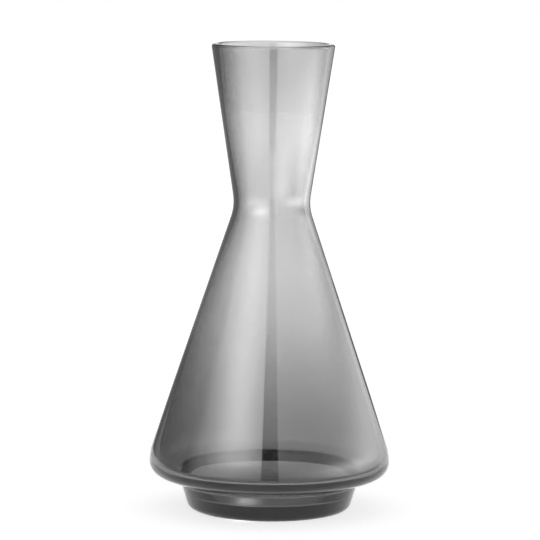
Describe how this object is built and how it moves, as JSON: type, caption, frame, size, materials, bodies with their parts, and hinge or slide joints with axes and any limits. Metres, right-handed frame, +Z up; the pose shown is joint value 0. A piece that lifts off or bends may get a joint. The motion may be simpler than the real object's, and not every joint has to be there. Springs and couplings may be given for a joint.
{
  "type": "decanter",
  "caption": "Waisted smoke-grey glass decanter with a flared open neck, conical body, rounded shoulder and thick glass foot, for serving wine or water.",
  "frame": {"origin": "centre of the foot's flat base, on the surface that the decanter stands on", "axes": "+Z up along the axis of the neck; the decanter is round, so X and Y are free, and the picture looks along +Y"},
  "size_m": [0.1292, 0.1292, 0.25],
  "materials": {
    "smoke_glass": "clear, fire-polished, smoke-grey through its whole thickness"
  },
  "bodies": {
    "root": {"vessel": "smoke_glass", "foot": "smoke_glass"}
  },
  "joints": []
}
